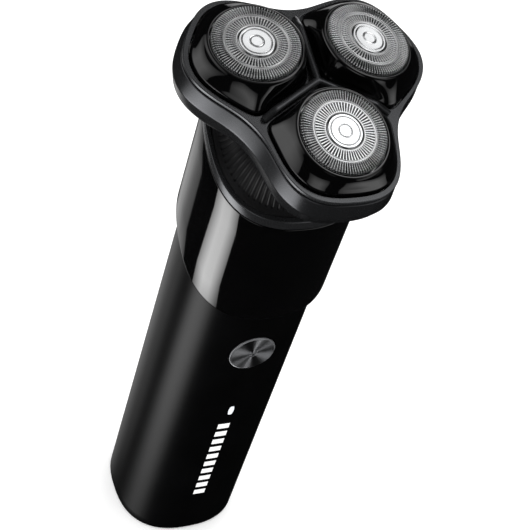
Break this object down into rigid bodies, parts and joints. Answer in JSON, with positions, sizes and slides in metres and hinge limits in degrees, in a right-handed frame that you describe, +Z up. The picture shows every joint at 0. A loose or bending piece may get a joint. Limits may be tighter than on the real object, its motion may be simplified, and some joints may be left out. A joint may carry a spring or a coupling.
{
  "type": "electric shaver",
  "caption": "Upright rotary electric shaver with a squarish grip, slanted gloss collar, ribbed shoulder, round power button and a tilted, lobed cutting head that pulls off.",
  "frame": {"origin": "middle of the base's flat underside, on the grip's axis", "axes": "+Z up the grip, -Y towards the front with the power button, +X to the right seen from behind the part"},
  "size_m": [0.0614, 0.0551, 0.1762],
  "materials": {
    "grip_black": "satin black moulded grip",
    "gloss_black": "polished black",
    "matt_black": "matt black",
    "satin_grey": "satin dark grey metallic",
    "satin_dark": "satin gunmetal",
    "button_metal": "spun finish",
    "steel": "plain steel",
    "cutter_steel": "fine ground steel",
    "bright_steel": "polished",
    "brass": "wound copper and iron, shown as brass",
    "white_plastic": "natural white",
    "board_green": "glass fibre board",
    "chip_black": "moulded black",
    "battery_wrap": "shrink wrap",
    "seal_rubber": "soft",
    "lens": "milky light guide"
  },
  "bodies": {
    "grip": {"grip_shell": "grip_black", "base_cap": "matt_black", "base_screw_left": "steel", "base_screw_right": "steel", "chassis": "white_plastic", "battery_cell": "battery_wrap", "battery_tab_lower": "steel", "battery_tab_upper": "steel", "circuit_board": "board_green", "charge_led": "lens", "light_guide": "lens", "charging_socket": "steel", "socket_tongue": "chip_black", "switch_body": "chip_black", "button_seal": "seal_rubber", "glossy_collar": "gloss_black", "trim_ring": "satin_grey", "ribbed_shoulder": "matt_black", "neck_collar": "matt_black", "shaft_seal": "seal_rubber", "motor_mount": "steel", "motor_can": "steel", "motor_end_cap": "white_plastic", "motor_magnet_ring": "chip_black", "motor_screw_left": "bright_steel", "motor_screw_right": "bright_steel"},
    "power_button": {"power_button": "button_metal"},
    "motor_armature": {"motor_rotor": "brass", "motor_shaft": "bright_steel", "drive_coupling": "white_plastic"},
    "head_unit": {"head_base": "satin_dark", "gear_plate": "white_plastic", "plate_screw_1": "bright_steel", "plate_screw_2": "bright_steel", "plate_screw_3": "bright_steel"},
    "central_gear": {"central_gear": "white_plastic"},
    "head_cover": {"head_frame": "satin_grey", "centre_bridge": "satin_dark", "cutter_retainer": "matt_black"},
    "drive_gear_front": {"drive_gear_front": "white_plastic", "drive_spindle_front": "white_plastic", "spindle_spring_front": "bright_steel"},
    "pod_front": {"pod_front": "gloss_black", "cutter_cap_front": "cutter_steel", "cap_hub_front": "bright_steel"},
    "rotary_cutter_front": {"rotary_cutter_front": "cutter_steel"},
    "drive_gear_right": {"drive_gear_right": "white_plastic", "drive_spindle_right": "white_plastic", "spindle_spring_right": "bright_steel"},
    "pod_right": {"pod_right": "gloss_black", "cutter_cap_right": "cutter_steel", "cap_hub_right": "bright_steel"},
    "rotary_cutter_right": {"rotary_cutter_right": "cutter_steel"},
    "drive_gear_left": {"drive_gear_left": "white_plastic", "drive_spindle_left": "white_plastic", "spindle_spring_left": "bright_steel"},
    "pod_left": {"pod_left": "gloss_black", "cutter_cap_left": "cutter_steel", "cap_hub_left": "bright_steel"},
    "rotary_cutter_left": {"rotary_cutter_left": "cutter_steel"}
  },
  "joints": [
    {"name": "power_button_press", "type": "slide", "parent": "grip", "child": "power_button", "axis": [0, 1, 0], "range_m": [0, 0.0005], "stiffness_N_per_m": 1500},
    {"name": "head_pull_off", "type": "slide", "parent": "grip", "child": "head_unit", "axis": [0, -0.2465, 0.9691], "range_m": [0, 0.014]},
    {"name": "cover_pull_off", "type": "slide", "parent": "head_unit", "child": "head_cover", "axis": [0, -0.2465, 0.9691], "range_m": [0, 0.014]},
    {"name": "motor_spin", "type": "hinge", "parent": "grip", "child": "motor_armature", "pos_m": [0, -0.00564, 0.172], "axis": [0, -0.2465, 0.9691], "continuous": true},
    {"name": "central_gear_spin", "type": "hinge", "parent": "head_unit", "child": "central_gear", "pos_m": [0, -0.00564, 0.172], "axis": [0, -0.2465, 0.9691], "continuous": true},
    {"name": "drive_gear_front_spin", "type": "hinge", "parent": "head_unit", "child": "drive_gear_front", "pos_m": [0, -0.01978, 0.16389], "axis": [0, -0.2465, 0.9691], "continuous": true},
    {"name": "pod_front_rock", "type": "hinge", "parent": "head_cover", "child": "pod_front", "pos_m": [0, -0.01978, 0.16389], "axis": [1, 0, 0], "range_deg": [-4, 4], "stiffness_Nm_per_rad": 0.3},
    {"name": "rotary_cutter_front_spin", "type": "hinge", "parent": "pod_front", "child": "rotary_cutter_front", "pos_m": [0, -0.0213, 0.16802], "axis": [0, -0.3458, 0.9383], "continuous": true},
    {"name": "drive_gear_right_spin", "type": "hinge", "parent": "head_unit", "child": "drive_gear_right", "pos_m": [0.0136, 0.00305, 0.16969], "axis": [0, -0.2465, 0.9691], "continuous": true},
    {"name": "pod_right_rock", "type": "hinge", "parent": "head_cover", "child": "pod_right", "pos_m": [0.0136, 0.00305, 0.16969], "axis": [-0.5, 0.8393, 0.2135], "range_deg": [-4, 4], "stiffness_Nm_per_rad": 0.3},
    {"name": "rotary_cutter_right_spin", "type": "hinge", "parent": "pod_right", "child": "rotary_cutter_right", "pos_m": [0.01399, 0.00219, 0.17399], "axis": [0.0899, -0.1949, 0.9767], "continuous": true},
    {"name": "drive_gear_left_spin", "type": "hinge", "parent": "head_unit", "child": "drive_gear_left", "pos_m": [-0.0136, 0.00305, 0.16969], "axis": [0, -0.2465, 0.9691], "continuous": true},
    {"name": "pod_left_rock", "type": "hinge", "parent": "head_cover", "child": "pod_left", "pos_m": [-0.0136, 0.00305, 0.16969], "axis": [-0.5, -0.8393, -0.2135], "range_deg": [-4, 4], "stiffness_Nm_per_rad": 0.3},
    {"name": "rotary_cutter_left_spin", "type": "hinge", "parent": "pod_left", "child": "rotary_cutter_left", "pos_m": [-0.01399, 0.00219, 0.17399], "axis": [-0.0899, -0.1949, 0.9767], "continuous": true}
  ],
  "couplings": [
    {"joint": "central_gear_spin", "follows": "motor_spin", "ratio": 1},
    {"joint": "drive_gear_front_spin", "follows": "motor_spin", "ratio": -0.5},
    {"joint": "rotary_cutter_front_spin", "follows": "motor_spin", "ratio": -0.5},
    {"joint": "drive_gear_right_spin", "follows": "motor_spin", "ratio": -0.5},
    {"joint": "rotary_cutter_right_spin", "follows": "motor_spin", "ratio": -0.5},
    {"joint": "drive_gear_left_spin", "follows": "motor_spin", "ratio": -0.5},
    {"joint": "rotary_cutter_left_spin", "follows": "motor_spin", "ratio": -0.5}
  ]
}
